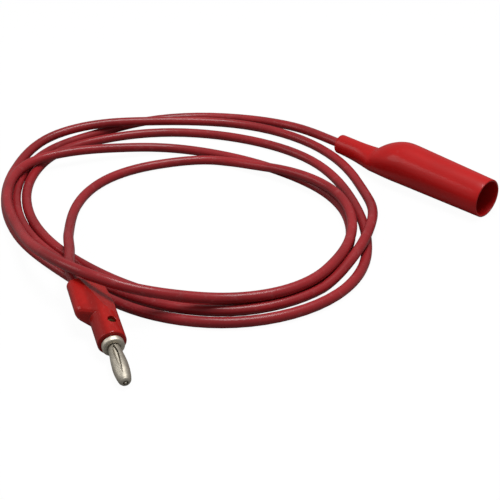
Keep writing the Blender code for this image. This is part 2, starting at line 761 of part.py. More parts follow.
def add_lower_jaw(parts, cutters, frame, material):
    """The fixed jaw with its hinge ears, and the wire barrel that it is rolled into behind."""
    ear = EAR_RADIUS
    floor = -4.7 * MM
    nose = -3.0 * MM
    gap = FIT_GAP / 2
    barrel_top = NECK_HEIGHT - PIVOT_HEIGHT
    outline = [
        (-JAW_REAR, floor),
        (9.0 * MM, floor),
        (JAW_LENGTH - 0.8 * MM, nose),
        (JAW_LENGTH, nose + 0.6 * MM),
        *toothed_edge(JAW_LINE - gap, -TOOTH_HEIGHT, 0),
        (5.0 * MM, JAW_LINE - gap),
        *arc((0, 0), ear, 20, 160, 8),
        (-4.0 * MM, JAW_LINE - 1.0 * MM),
        (-JAW_REAR, barrel_top),
    ]
    hollow = [
        (-JAW_REAR - 1 * MM, floor + SHEET),
        (9.0 * MM, floor + SHEET),
        (JAW_LENGTH - SHEET - 0.2 * MM, nose + SHEET),
        (JAW_LENGTH - SHEET, 3 * MM),
        (-JAW_REAR - 1 * MM, 3 * MM),
    ]
    jaw = folded_jaw("clip_lower_jaw", outline, hollow, JAW_WIDTH, parts, cutters, frame)
    drop = NECK_HEIGHT - PIVOT_HEIGHT
    barrel_mesh = rod_mesh(BARREL_DIAMETER / 2, -BARREL_REAR, -BARREL_REAR + BARREL_LENGTH)
    barrel_mesh.transform(Matrix.Translation((0, 0, drop)))
    barrel = add_object("barrel_form", barrel_mesh, cutters, frame)

    def build_tongue(shape):
        """The floor of the channel carried back under the barrel."""
        bmesh.ops.create_cube(shape, size=1)
        long = 7.5 * MM
        bmesh.ops.scale(shape, verts=shape.verts, vec=(long, BARREL_DIAMETER / 2, SHEET))
        middle = (0.5 * MM - JAW_REAR - long / 2, 0, floor + SHEET / 2 + 0.05 * MM)
        bmesh.ops.translate(shape, verts=shape.verts, vec=middle)

    tongue = add_object("tongue_form", mesh_from(build_tongue), cutters, frame)
    combine(jaw, barrel, "UNION")
    combine(jaw, tongue, "UNION")
    bore_end = -BARREL_REAR + BARREL_LENGTH + 1.2 * MM
    bore_mesh = rod_mesh(WIRE_DIAMETER / 2 + 0.9 * MM, -BARREL_REAR - 1 * MM, bore_end, SMALL_STEPS)
    bore_mesh.transform(Matrix.Translation((0, 0, drop)))
    combine(jaw, add_object("barrel_bore", bore_mesh, cutters, frame), "DIFFERENCE")
    thread = rod_mesh(SCREW_DIAMETER / 2 + THREAD_GAP, drop, 3 * MM, SMALL_STEPS)
    thread.transform(
        Matrix.Translation((-CLIP_SCREW_STATION, 0, 0)) @ Matrix.Rotation(-math.pi / 2, 4, "Y")
    )
    combine(jaw, add_object("clip_thread_bore", thread, cutters, frame), "DIFFERENCE")
    combine(jaw, hinge_hole(cutters, frame), "DIFFERENCE")
    return finish(applied(jaw), material)


def add_upper_jaw(parts, cutters, frame, material):
    """The moving jaw: toothed nose, hinge cheeks between the lower ears and a raised thumb tab."""
    ear = EAR_RADIUS
    crown = CROWN_HEIGHT
    nose = TIP_EDGE
    gap = FIT_GAP / 2
    width = JAW_WIDTH - 2 * SHEET - 5 * FIT_GAP
    outline = [
        (JAW_LENGTH, JAW_LINE + 0.8 * MM),
        (JAW_LENGTH - 0.7 * MM, nose),
        (8.0 * MM, crown - 0.6 * MM),
        (2.0 * MM, crown),
        (-3.5 * MM, crown + 0.6 * MM),
        (-TAIL_LENGTH + TIP_EDGE, crown + TAIL_RISE),
        (-TAIL_LENGTH, crown + TAIL_RISE - SHEET),
        (-4.6 * MM, crown + 0.6 * MM - SHEET),
        *arc((0, 0), ear, 160, 340, 10),
        *toothed_edge(JAW_LINE + gap, -TOOTH_HEIGHT, 0)[::-1],
    ]
    hollow = [
        (JAW_LENGTH - SHEET - TIP_EDGE, -JAW_WIDTH),
        (JAW_LENGTH - SHEET - TIP_EDGE, nose - SHEET),
        (8.0 * MM, crown - 0.6 * MM - SHEET),
        (2.0 * MM, crown - SHEET),
        (-3.5 * MM, crown + 0.6 * MM - SHEET),
        (-TAIL_LENGTH - TIP_EDGE, crown + TAIL_RISE - SHEET),
        (-TAIL_LENGTH - TIP_EDGE, -JAW_WIDTH),
    ]
    jaw = folded_jaw("clip_upper_jaw", outline, hollow, width, parts, cutters, frame)
    combine(jaw, hinge_hole(cutters, frame), "DIFFERENCE")
    return finish(applied(jaw), material)


def add_torsion_spring(parts, frame, material):
    """A coil round the hinge pin with one leg under the thumb tab and one on the floor."""
    points = []
    steps = 12
    half = COIL_TURNS * (COIL_WIRE + 0.1 * MM) / 2
    for i in range(COIL_TURNS * steps + steps // 2 + 1):
        angle = math.radians(90 + 360 * i / steps)
        across = -half + (COIL_WIRE + 0.1 * MM) * i / steps
        points.append((COIL_RADIUS * math.cos(angle), across, COIL_RADIUS * math.sin(angle)))
    first = (-7.0 * MM, -half - 0.05 * MM, 3.7 * MM)
    last = (-7.0 * MM, points[-1][1] + 0.05 * MM, -4.7 * MM + SHEET + FIT_GAP + COIL_WIRE / 2)
    middle = (-3.0 * MM, -half, 2.3 * MM)
    spring = tube_object(
        "clip_spring", [first, middle, *points[1:], last], COIL_WIRE, parts, frame
    )
    return finish(applied(spring), material)


def add_clip(parts, cutters, finishes):
    frame = add_object("clip_frame", None, parts)
    frame.location = boot_point(PIVOT_STATION, PIVOT_HEIGHT)
    bpy.context.view_layer.update()
    add_lower_jaw(parts, cutters, frame, finishes["steel"])
    add_upper_jaw(parts, cutters, frame, finishes["steel"])
    length = JAW_WIDTH / 2 + FIT_GAP
    pin = applied(
        turned_object(
            "clip_pivot",
            [
                (length + 0.5 * MM, 0),
                (length + 0.5 * MM, 1.1 * MM),
                (length + 0.2 * MM, 1.5 * MM),
                (length, 1.5 * MM),
                (length, PIVOT_DIAMETER / 2),
                (-length, PIVOT_DIAMETER / 2),
                (-length, 1.5 * MM),
                (-length - 0.2 * MM, 1.5 * MM),
                (-length - 0.5 * MM, 1.1 * MM),
                (-length - 0.5 * MM, 0),
            ],
            SMALL_STEPS,
            parts,
            frame,
        )
    )
    pin.rotation_euler = (-math.pi / 2, 0, 0)
    finish(pin, finishes["steel"])
    add_torsion_spring(parts, frame, finishes["steel"])
    drop = NECK_HEIGHT - PIVOT_HEIGHT
    screw = slotted_screw(
        "clip_screw",
        SCREW_DIAMETER / 2,
        drop + WIRE_DIAMETER / 2 + FIT_GAP,
        drop + BARREL_DIAMETER / 2 + 1.4 * MM,
        -CLIP_SCREW_STATION,
        0.45 * MM,
        parts,
        cutters,
        frame,
        finishes["steel"],
    )
    wire = rod_mesh(WIRE_DIAMETER / 2, -BARREL_REAR - 2 * MM + FIT_GAP, -12.5 * MM, SMALL_STEPS)
    wire.transform(Matrix.Translation((0, 0, drop)))
    finish(add_object("clip_conductor", wire, parts, frame), finishes["copper"])
    return screw


def main():
    clear_scene()
    parts = add_collection("banana_plug_patch_cord")
    cutters = add_collection("cutters")
    finishes = {
        "cord": add_material("cord_red", (0.36, 0.03, 0.035), 0.5),
        "moulding": add_material("moulded_red", (0.45, 0.03, 0.03), 0.35),
        "boot": add_material("boot_red", (0.5, 0.025, 0.025), 0.4),
        "nickel": add_material("nickel_plate", (0.62, 0.58, 0.52), 0.25, 1.0),
        "steel": add_material("plated_steel", (0.6, 0.6, 0.62), 0.3, 1.0),
        "brass": add_material("dark_brass", (0.3, 0.22, 0.1), 0.45, 1.0),
        "copper": add_material("copper_strands", (0.7, 0.35, 0.2), 0.35, 1.0),
    }
    add_cord(parts, finishes["cord"])
    add_plug(parts, cutters, finishes)
    add_boot(parts, cutters, finishes["boot"])
    add_clip(parts, cutters, finishes)


main()
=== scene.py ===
"""A red patch cord in a loose coil, with a banana plug on one end and a booted clip on the other."""

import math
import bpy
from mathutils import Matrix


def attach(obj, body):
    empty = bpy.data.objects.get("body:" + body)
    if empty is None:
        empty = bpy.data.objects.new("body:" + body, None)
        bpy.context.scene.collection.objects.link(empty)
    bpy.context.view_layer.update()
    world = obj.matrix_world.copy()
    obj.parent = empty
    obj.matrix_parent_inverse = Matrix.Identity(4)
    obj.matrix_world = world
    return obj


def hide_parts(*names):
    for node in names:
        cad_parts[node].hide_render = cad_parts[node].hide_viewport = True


bl_info = {
    "name": "Banana plug patch cord",
    "version": (1, 0, 0),
    "blender": (4, 5, 0),
    "location": "View3D > Sidebar > Patch cord",
    "description": "Finishes a patch cord's solids for a studio picture",
    "category": "Object",
}

import bmesh
import bpy
import numpy as np
from bpy.props import FloatProperty, FloatVectorProperty, IntProperty, PointerProperty
from mathutils import Matrix, Vector

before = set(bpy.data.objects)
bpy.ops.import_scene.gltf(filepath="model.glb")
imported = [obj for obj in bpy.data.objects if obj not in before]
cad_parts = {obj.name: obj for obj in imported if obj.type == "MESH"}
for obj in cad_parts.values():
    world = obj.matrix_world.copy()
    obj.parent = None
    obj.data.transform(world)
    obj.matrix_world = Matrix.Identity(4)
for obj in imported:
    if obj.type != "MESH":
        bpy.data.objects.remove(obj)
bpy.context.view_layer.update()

MM = 0.001

# The cord's route round the coil: degrees, radius and height in millimetres
COIL_CENTRE = Vector((-0.0375, -0.00412))
FLOOR = 1.8
TURNS = (
    (105, 84.2, 3.6),
    (120, 87.2, 2.3),
    (150, 86.5, FLOOR),
    (165, 82.6, FLOOR),
    (180, 80.9, FLOOR),
    (195, 75.2, FLOOR),
    (210, 67.6, FLOOR),
    (240, 55.5, FLOOR),
    (270, 50.3, FLOOR),
    (300, 54.2, FLOOR),
    (330, 61.4, FLOOR),
    (360, 64.6, FLOOR),
    (375, 64.3, 4.1),
    (383, 64.6, 5.4),
    (391, 64.9, 6.0),
    (404, 65.8, 5.1),
    (420, 67.2, 2.5),
    (450, 75.1, FLOOR),
    (480, 81.0, 2.3),
    (510, 79.6, 4.9),
    (525, 83.0, 5.7),
    (540, 86.2, 4.0),
    (555, 80.0, FLOOR),
    (570, 71.7, FLOOR),
    (600, 59.5, FLOOR),
    (630, 54.2, FLOOR),
    (660, 59.9, FLOOR),
    (690, 67.9, FLOOR),
    (720, 70.7, FLOOR),
    (735, 68.5, FLOOR),
    (750, 64.7, FLOOR),
    (780, 61.3, FLOOR),
    (810, 65.4, FLOOR),
    (840, 69.1, FLOOR),
    (870, 74.4, FLOOR),
    (885, 76.2, FLOOR),
    (900, 76.7, FLOOR),
    (915, 70.9, FLOOR),
    (930, 63.4, FLOOR),
    (960, 51.5, FLOOR),
    (990, 46.5, FLOOR),
    (1020, 49.4, FLOOR),
    (1050, 57.3, FLOOR),
    (1080, 60.4, FLOOR),
    (1110, 58.8, FLOOR),
    (1140, 55.0, FLOOR),
    (1170, 50.4, FLOOR),
    (1200, 51.7, FLOOR),
    (1230, 58.6, 2.6),
    (1245, 61.4, 4.1),
    (1260, 66.8, 5.5),
    (1275, 73.1, 5.6),
    (1290, 70.0, 5.6),
    (1305, 64.4, 5.7),
    (1320, 60.2, 6.6),
    (1335, 60.1, 9.9),
    (1350, 61.8, 13.1),
    (1362, 63.9, 14.8),
    (1370, 64.8, 14.8),
    (1380, 64.5, 13.0),
    (1394, 61.3, 9.0),
    (1408, 59.7, 5.8),
    (1425, 61.9, 5.1),
    (1440, 62.3, 5.1),
    (1448, 61.5, 5.3),
    (1456, 60.7, 5.4),
    (1470, 59.2, 5.6),
    (1485, 57.2, 5.7),
    (1500, 54.4, 5.7),
    (1515, 50.3, 5.5),
    (1530, 47.3, 4.5),
    (1545, 46.3, 3.0),
    (1560, 47.4, FLOOR),
    (1590, 45.4, FLOOR),
    (1620, 44.8, FLOOR),
    (1650, 42.8, FLOOR),
    (1670, 42.3, 2.0),
    (1682, 43.2, 3.6),
    (1692, 45.2, 5.7),
    (1705, 49.8, 7.4),
)
# Where the cord runs in the boot's neck and in the plug's boss, along their own axes
NECK_STATIONS = (0.0135, 0.00775, 0.0, -0.004)
BOSS_STATIONS = (0.035, 0.028, 0.023, 0.018)
BOSS_OFFSET = 0.0056

PLUG_PLACE = Vector((0.00605, -0.07457, 0.0046))
PLUG_TURN = (
    Matrix.Rotation(math.radians(-26.5), 4, "Z")
    @ Matrix.Rotation(math.radians(8), 4, "Y")
    @ Matrix.Rotation(math.radians(-12), 4, "X")
)
PLUG_MATRIX = Matrix.Translation(PLUG_PLACE) @ PLUG_TURN
BOOT_END = Vector((-0.0351, 0.07538, 0))
NECK_HEIGHT = 0.0053
CORD_BORE = 1.95 * MM
RIM_ROUND = 0.35 * MM

# The pin's leaves: their sheet, the nose they close in and the turn of the first slot
LEAF_WALL = 0.35 * MM
REAR_RING = 1.75 * MM
NOSE_LENGTH = 0.9 * MM
NOSE_HOLE = 0.62 * MM
NOSE_SHARE = 0.86
SLOTS_END = 1.8 * MM
FIRST_SLOT = 20
SHANK = 2.5 * MM

# The camera's place and aim, and each softbox's place, then its width and depth
EYE = Vector((0.22895, -0.23957, 0.2018))
AIM = Vector((-0.0085, -0.00212, 0))
MIDDLE = (-0.02, 0, 0)
TOP_SOFTBOX = (0.04, 0.08, 0.75), (0.38, 0.32)
SIDE_SOFTBOX = (-0.55, -0.5, 0.45), (0.4, 0.4)


class CordSizes(bpy.types.PropertyGroup):
    """Sizes and colour of the cord."""

    diameter: FloatProperty(
        name="Diameter", description="Outside of the jacket", default=0.0036, min=0.001, unit="LENGTH"
    )
    length: FloatProperty(
        name="Length", description="Along the jacket", default=1.84, min=0.1, unit="LENGTH"
    )
    roundness: IntProperty(
        name="Roundness", description="Sides in each quarter of the jacket", default=6, min=2
    )
    colour: FloatVectorProperty(
        name="Jacket colour",
        description="Soft PVC of the jacket",
        subtype="COLOR",
        default=(0.28, 0.014, 0.018),
        min=0,
        max=1,
    )


class BootSizes(bpy.types.PropertyGroup):
    """Sizes and colour of the clip's boot."""

    length: FloatProperty(
        name="Length", description="From neck to mouth", default=0.0702, min=0.02, unit="LENGTH"
    )
    wall: FloatProperty(
        name="Wall", description="Thickness of the skin", default=0.0008, min=0.0003, unit="LENGTH"
    )
    neck_length: FloatProperty(
        name="Neck length", description="Up to the floor's touch", default=0.019, min=0.005, unit="LENGTH"
    )
    neck_diameter: FloatProperty(
        name="Neck diameter", description="Outside of the neck", default=0.0076, min=0.004, unit="LENGTH"
    )
    spread_start: FloatProperty(
        name="Spread start", description="Where the sides widen", default=0.008, min=0.001, unit="LENGTH"
    )
    hump_start: FloatProperty(
        name="Hump start", description="Where the top rises", default=0.0183, min=0.002, unit="LENGTH"
    )
    hump_length: FloatProperty(
        name="Hump length", description="Of the top's rise", default=0.0175, min=0.002, unit="LENGTH"
    )
    bulge_start: FloatProperty(
        name="Bulge start", description="Where it is widest", default=0.031, min=0.002, unit="LENGTH"
    )
    bulge_diameter: FloatProperty(
        name="Bulge diameter", description="At the widest place", default=0.0164, min=0.006, unit="LENGTH"
    )
    mouth_diameter: FloatProperty(
        name="Mouth diameter", description="Outside of the rim", default=0.0144, min=0.006, unit="LENGTH"
    )
    colour: FloatVectorProperty(
        name="Boot colour",
        description="Moulded vinyl of the boot",
        subtype="COLOR",
        default=(0.45, 0.004, 0.004),
        min=0,
        max=1,
    )


class PlugSizes(bpy.types.PropertyGroup):
    """Sizes and colours of the banana plug."""

    collar_diameter: FloatProperty(
        name="Collar diameter", description="Turned collar", default=0.0069, min=0.002, unit="LENGTH"
    )
    collar_length: FloatProperty(
        name="Collar length", description="Turned collar", default=0.0018, min=0.0005, unit="LENGTH"
    )
    stud_diameter: FloatProperty(
        name="Stud diameter", description="Core of the pin", default=0.0022, min=0.001, unit="LENGTH"
    )
    pin_length: FloatProperty(
        name="Pin length", description="From collar to tip", default=0.0152, min=0.004, unit="LENGTH"
    )
    leaf_diameter: FloatProperty(
        name="Leaf diameter", description="Across the bowed leaves", default=0.0051, min=0.002, unit="LENGTH"
    )
    slot_width: FloatProperty(
        name="Slot width", description="Between two leaves", default=0.0015, min=0.0001, unit="LENGTH"
    )
    colour: FloatVectorProperty(
        name="Moulding colour",
        description="Hard vinyl of the plug's body",
        subtype="COLOR",
        default=(0.36, 0.006, 0.004),
        min=0,
        max=1,
    )
    nickel: FloatVectorProperty(
        name="Nickel colour",
        description="Plating of the pin and its collar",
        subtype="COLOR",
        default=(0.74, 0.68, 0.57),
        min=0,
        max=1,
    )


class StageSizes(bpy.types.PropertyGroup):
    """Camera, lamps and floor."""

    lens: FloatProperty(
        name="Lens", description="Focal length in millimetres", default=81.504, min=10, max=300
    )
    room_light: FloatProperty(
        name="Room light", description="Strength of the pale room", default=0.32, min=0, max=4
    )
    top_lamp: FloatProperty(
        name="Top lamp", description="Power of the softbox overhead in watts", default=4.8, min=0
    )
    side_lamp: FloatProperty(
        name="Side lamp", description="Power of the softbox at the side in watts", default=1.2, min=0
    )
    floor_colour: FloatVectorProperty(
        name="Floor colour",
        description="Pale paper sweep",
        subtype="COLOR",
        default=(0.2, 0.2, 0.2),
        min=0,
        max=1,
    )


class Value:
    """A number that changes over a surface. Sums of such numbers add Math nodes."""

    def __init__(self, finish, socket):
        self.finish = finish
        self.socket = socket

    def sum(self, operation, first, second):
        return self.finish.node("ShaderNodeMath", {"operation": operation}, {0: first, 1: second})

    def __add__(self, other):
        return self.sum("ADD", self, other)

    def __radd__(self, other):
        return self.sum("ADD", other, self)

    def __sub__(self, other):
        return self.sum("SUBTRACT", self, other)

    def __rsub__(self, other):
        return self.sum("SUBTRACT", other, self)

    def __mul__(self, other):
        return self.sum("MULTIPLY", self, other)


class Finish:
    """One material and the nodes behind its shader."""

    def __init__(self, name):
        self.material = bpy.data.materials.new(name)
        self.material.use_nodes = True
        self.tree = self.material.node_tree
        self.shader = self.tree.nodes["Principled BSDF"]

    def node(self, kind, settings=None, sockets=None, output=0):
        """A node of any kind: its settings come first, then the values or links of its sockets."""
        made = self.tree.nodes.new(kind)
        for key, value in (settings or {}).items():
            setattr(made, key, value)
        for key, value in (sockets or {}).items():
            self.join(made.inputs[key], value)
        return Value(self, made.outputs[output])

    def join(self, socket, value):
        if isinstance(value, Value):
            self.tree.links.new(value.socket, socket)
        elif isinstance(value, (tuple, list)) and len(value) == 3 and socket.type == "RGBA":
            socket.default_value = (*value, 1)
        else:
            socket.default_value = value

    def place(self, matrix=None, stretch=(1, 1, 1)):
        """The surface's own place in metres, seen from a piece's axes where a matrix is given."""
        here = self.node("ShaderNodeTexCoord", output="Object")
        if matrix is not None:
            here = self.node(
                "ShaderNodeMapping",
                {"vector_type": "TEXTURE"},
                {0: here, 1: matrix.to_translation(), 2: matrix.to_euler()},
            )
        return self.node("ShaderNodeMapping", {"vector_type": "POINT"}, {0: here, 3: stretch})

    def axis(self, place, index):
        """One coordinate of a place."""
        return self.node("ShaderNodeSeparateXYZ", sockets={0: place}, output=index)

    def noise(self, place, scale, detail=2.0, roughness=0.5):
        return self.node(
            "ShaderNodeTexNoise",
            sockets={"Vector": place, "Scale": scale, "Detail": detail, "Roughness": roughness},
        )

    def band(self, value, low, high):
        """0 below low, 1 above high and smooth between them."""
        return self.node(
            "ShaderNodeMapRange",
            {"interpolation_type": "SMOOTHSTEP"},
            {"Value": value, "From Min": low, "From Max": high},
        )

    def mix(self, amount, first, second):
        return self.node(
            "ShaderNodeMix", {"data_type": "RGBA"}, {0: amount, 6: first, 7: second}, output=2
        )

    def bump(self, height, distance, strength=1.0):
        return self.node(
            "ShaderNodeBump", sockets={"Height": height, "Distance": distance, "Strength": strength}
        )

    def wear(self, sockets):
        for key, value in sockets.items():
            self.join(self.shader.inputs[key], value)
        return self.material


def shade(colour, factor):
    return tuple(min(max(c * factor, 0.0), 1.0) for c in colour)


def toward(colour, other, share):
    return tuple(c + (o - c) * share for c, o in zip(colour, other))


def jacket_finish(colour):
    """Soft extruded jacket: slow changes of tone, a faint grain, pale scuffs and a silky shine."""
    finish = Finish("cord_jacket")
    here = finish.place()
    tone = finish.noise(here, 45, 3)
    grain = finish.noise(here, 2600, 2)
    scuff = finish.band(finish.noise(here, 380, 5, 0.7), 0.54, 0.72)
    base = finish.mix(finish.band(tone, 0.3, 0.7), shade(colour, 0.8), shade(colour, 1.15))
    worn = finish.mix(scuff * 0.3, base, toward(colour, (0.5, 0.3, 0.3), 0.3))
    height = grain * 0.6 + finish.noise(here, 420, 2) * 0.8
    return finish.wear(
        {
            "Base Color": worn,
            "Roughness": 0.36 + tone * 0.08 + scuff * 0.14,
            "Specular IOR Level": 0.2,
            "Coat Weight": 0.22,
            "Coat Roughness": 0.16,
            "Normal": finish.bump(height, 0.00003, 0.5),
        }
    )


def boot_finish(colour):
    """Dip-moulded vinyl: an even bright red with a soft skin, faint flow marks and handling marks."""
    finish = Finish("boot_vinyl")
    here = finish.place()
    flow = finish.noise(finish.place(stretch=(0.25, 1, 1)), 160, 3)
    skin = finish.noise(here, 1500, 3)
    scuff = finish.band(finish.noise(here, 300, 5, 0.65), 0.58, 0.74)
    base = finish.mix(finish.band(flow, 0.3, 0.7), shade(colour, 0.9), shade(colour, 1.08))
    worn = finish.mix(scuff * 0.12, base, toward(colour, (0.6, 0.3, 0.3), 0.25))
    height = skin * 0.5 + flow * 1.6
    return finish.wear(
        {
            "Base Color": worn,
            "Roughness": 0.4 + flow * 0.1 + scuff * 0.1,
            "Specular IOR Level": 0.2,
            "Coat Weight": 0.22,
            "Coat Roughness": 0.16,
            "Normal": finish.bump(height, 0.00005, 0.5),
        }
    )


def moulding_finish(colour):
    """Hard glossy moulding: slight orange peel, fine scratches, paler rubbed places and painted shade in the
    recessed web between boss and body.
    """
    finish = Finish("plug_moulding")
    here = finish.place(PLUG_MATRIX)
    tone = finish.noise(here, 240, 3)
    peel = finish.noise(here, 900, 2)
    lines = finish.noise(finish.place(PLUG_MATRIX, (0.12, 1, 1)), 2600, 2)
    scratch = finish.band(lines, 0.62, 0.7)
    across = finish.axis(here, 1)
    # painted shade: a band across the plug's axes over the recessed web mixes in a copy of the moulding
    # colour shaded to 0.6
    painted_web_shade = finish.band(across, -5.4 * MM, -3.8 * MM) - finish.band(across, -3.0 * MM, -1.4 * MM)
    skin = finish.mix(finish.band(tone, 0.3, 0.7), shade(colour, 0.9), shade(colour, 1.1))
    base = finish.mix(painted_web_shade * 0.7, skin, shade(colour, 0.6))
    worn = finish.mix(scratch * 0.18, base, toward(colour, (0.6, 0.35, 0.33), 0.25))
    return finish.wear(
        {
            "Base Color": worn,
            "Roughness": 0.34 + tone * 0.1 + scratch * 0.15,
            "Specular IOR Level": 0.12,
            "Coat Weight": 0.35,
            "Coat Roughness": 0.15,
            "Normal": finish.bump(peel + scratch * 0.3, 0.00004, 0.2),
        }
    )


def turned_metal(name, colour, matrix, tarnish=0.35, roughness=0.46):
    """Plated and turned metal: fine rings round the axis, cloudy tarnish and duller spots."""
    finish = Finish(name)
    rings = finish.noise(finish.place(matrix, (1, 0.04, 0.04)), 5200, 2)
    cloud = finish.noise(finish.place(matrix), 420, 4, 0.6)
    spots = finish.band(finish.noise(finish.place(matrix), 1900, 3), 0.58, 0.72)
    base = finish.mix(finish.band(cloud, 0.35, 0.7) * tarnish, colour, shade(colour, 0.62))
    dull = finish.mix(spots * 0.3, base, shade(colour, 0.5))
    return finish.wear(
        {
            "Base Color": dull,
            "Metallic": 1.0,
            "Roughness": roughness + cloud * 0.12 + spots * 0.12,
            "Normal": finish.bump(rings, 0.00002, 0.25),
        }
    )


def sheet_metal(name, colour, stretch=(0.08, 1, 1), roughness=0.3):
    """Rolled and plated sheet: brush lines along the strip and a light bloom."""
    finish = Finish(name)
    lines = finish.noise(finish.place(stretch=stretch), 3600, 3)
    bloom = finish.noise(finish.place(), 500, 4)
    base = finish.mix(finish.band(bloom, 0.35, 0.75) * 0.5, colour, shade(colour, 0.68))
    return finish.wear(
        {
            "Base Color": base,
            "Metallic": 1.0,
            "Roughness": roughness + bloom * 0.15,
            "Normal": finish.bump(lines, 0.00002, 0.5),
        }
    )


def strand_finish():
    """Bare stranded copper: ribs that run along the wire with darker gaps between them."""
    finish = Finish("copper_strands")
    ribs = finish.noise(finish.place(stretch=(0.1, 1, 1)), 4200, 2)
    gap = finish.band(ribs, 0.4, 0.6)
    return finish.wear(
        {
            "Base Color": finish.mix(gap, (0.32, 0.12, 0.06), (0.85, 0.42, 0.24)),
            "Metallic": 1.0,
            "Roughness": 0.45 - gap * 0.15,
            "Normal": finish.bump(gap, 0.00008, 0.7),
        }
    )


def add_piece(name, mesh, material, nodes, body="lead"):
    """A finished piece at the origin, riding on its body."""
    piece = bpy.data.objects.new(name, mesh)
    bpy.context.scene.collection.objects.link(piece)
    mesh.materials.clear()
    mesh.materials.append(material)
    mesh.shade_smooth()
    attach(piece, body)
    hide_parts(*nodes)
    return piece


def baked(obj):
    """The mesh that an object's modifiers make, with the object and its modifiers gone."""
    graph = bpy.context.evaluated_depsgraph_get()
    mesh = bpy.data.meshes.new_from_object(obj.evaluated_get(graph))
    bpy.data.objects.remove(obj)
    return mesh


def merged_copy(node):
    """A closed copy of a CAD node's mesh, with its loose triangles joined."""
    shape = bmesh.new()
    shape.from_mesh(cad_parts[node].data)
    bmesh.ops.remove_doubles(shape, verts=shape.verts, dist=1e-6)
    bmesh.ops.dissolve_limit(shape, angle_limit=0.002, verts=shape.verts, edges=shape.edges)
    mesh = bpy.data.meshes.new(node)
    shape.to_mesh(mesh)
    shape.free()
    return mesh


def dressed(name, node, material, edge, body="lead"):
    """A CAD node's shape with its sharp edges broken."""
    mesh = merged_copy(node)
    piece = bpy.data.objects.new(name, mesh)
    bpy.context.scene.collection.objects.link(piece)
    bevel = piece.modifiers.new("edge", "BEVEL")
    bevel.width = edge
    bevel.segments = 2
    bevel.limit_method = "ANGLE"
    bevel.angle_limit = math.radians(40)
    finished = baked(piece)
    piece = add_piece(name, finished, material, [node], body)
    finished.set_sharp_from_angle(angle=math.radians(50))
    return piece


def smooth_line(points, per_span):
    """Points along a cubic spline through the given points, with its knots a chord apart."""
    points = np.array(points, float)
    knots = np.concatenate([[0], np.cumsum(np.linalg.norm(np.diff(points, axis=0), axis=1))])
    spans = np.diff(knots)
    count = len(points)
    slopes = np.diff(points, axis=0) / spans[:, None]
    matrix = np.eye(count)
    right = np.zeros((count, 3))
    for i in range(1, count - 1):
        matrix[i, i - 1 : i + 2] = spans[i - 1], 2 * (spans[i - 1] + spans[i]), spans[i]
        right[i] = 6 * (slopes[i] - slopes[i - 1])
    bend = np.linalg.solve(matrix, right)
    line = []
    for i, span in enumerate(spans):
        for step in range(per_span):
            t = step / per_span
            cubic = (t**3 - t) * bend[i + 1] + ((1 - t) ** 3 - (1 - t)) * bend[i]
            line.append((1 - t) * points[i] + t * points[i + 1] + cubic * span**2 / 6)
    line.append(points[-1])
    line = np.array(line)
    line[:, 2] = np.maximum(line[:, 2], FLOOR * MM)
    return line


def cord_route():
    """Out of the boot's neck, round the turns and into the plug's boss."""
    neck = [BOOT_END + Vector((s, 0, NECK_HEIGHT)) for s in NECK_STATIONS]
    turns = []
    for degrees, radius, height in TURNS:
        angle = math.radians(degrees)
        flat = COIL_CENTRE + Vector((math.cos(angle), math.sin(angle))) * radius * MM
        turns.append(Vector((flat.x, flat.y, height * MM)))
    boss = [PLUG_MATRIX @ Vector((-s, -BOSS_OFFSET, 0)) for s in BOSS_STATIONS]
    return neck + turns + boss


class PATCHCORD_OT_cord(bpy.types.Operator):
    """Lays the jacket along its route, from the boot to the plug"""

    bl_idname = "patchcord.cord"
    bl_label = "Cord"

    def execute(self, context):
        sizes = context.scene.cord_sizes
        line = smooth_line(cord_route(), 8)
        curve = bpy.data.curves.new("cord_jacket", "CURVE")
        curve.dimensions = "3D"
        curve.bevel_depth = sizes.diameter / 2
        curve.bevel_resolution = sizes.roundness
        curve.use_fill_caps = True
        spline = curve.splines.new("POLY")
        spline.points.add(len(line) - 1)
        for target, point in zip(spline.points, line):
            target.co = (*point, 1)
        spline.use_smooth = True
        curve.materials.append(jacket_finish(sizes.colour[:]))
        jacket = bpy.data.objects.new("cord_jacket", curve)
        context.scene.collection.objects.link(jacket)
        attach(jacket, "lead")
        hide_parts("cord")
        return {"FINISHED"}


def ring_matrix(section):
    """From a circle of radius 1 round X to the ring at a section of the boot."""
    station, height, across, up = section
    size = Matrix.Diagonal((1, across, up, 1))
    return Matrix.Translation(BOOT_END + Vector((station, 0, height))) @ size


def lofted_shell(sections, steps):
    """A closed skin drawn through rings, of which the last one meets the first."""
    shape = bmesh.new()
    bmesh.ops.create_circle(shape, cap_ends=False, radius=1, segments=steps)
    shape.transform(Matrix.Rotation(math.pi / 2, 4, "Y"))
    shape.transform(ring_matrix(sections[0]))
    rim = shape.edges[:]
    for near, far in zip(sections, sections[1:]):
        grown = bmesh.ops.extrude_edge_only(shape, edges=rim)["geom"]
        verts = [v for v in grown if isinstance(v, bmesh.types.BMVert)]
        rim = [e for e in grown if isinstance(e, bmesh.types.BMEdge) and e.is_boundary]
        step = ring_matrix(far) @ ring_matrix(near).inverted()
        bmesh.ops.transform(shape, matrix=step, verts=verts)
    bmesh.ops.remove_doubles(shape, verts=shape.verts, dist=1e-7)
    bmesh.ops.recalc_face_normals(shape, faces=shape.faces)
    mesh = bpy.data.meshes.new("shell")
    shape.to_mesh(mesh)
    shape.free()
    return mesh


def eased(value, low, high):
    """From 0 at low to 1 at high, with a slow start and a slow end."""
    t = min(max((value - low) / (high - low), 0), 1)
    return t * t * (3 - 2 * t)


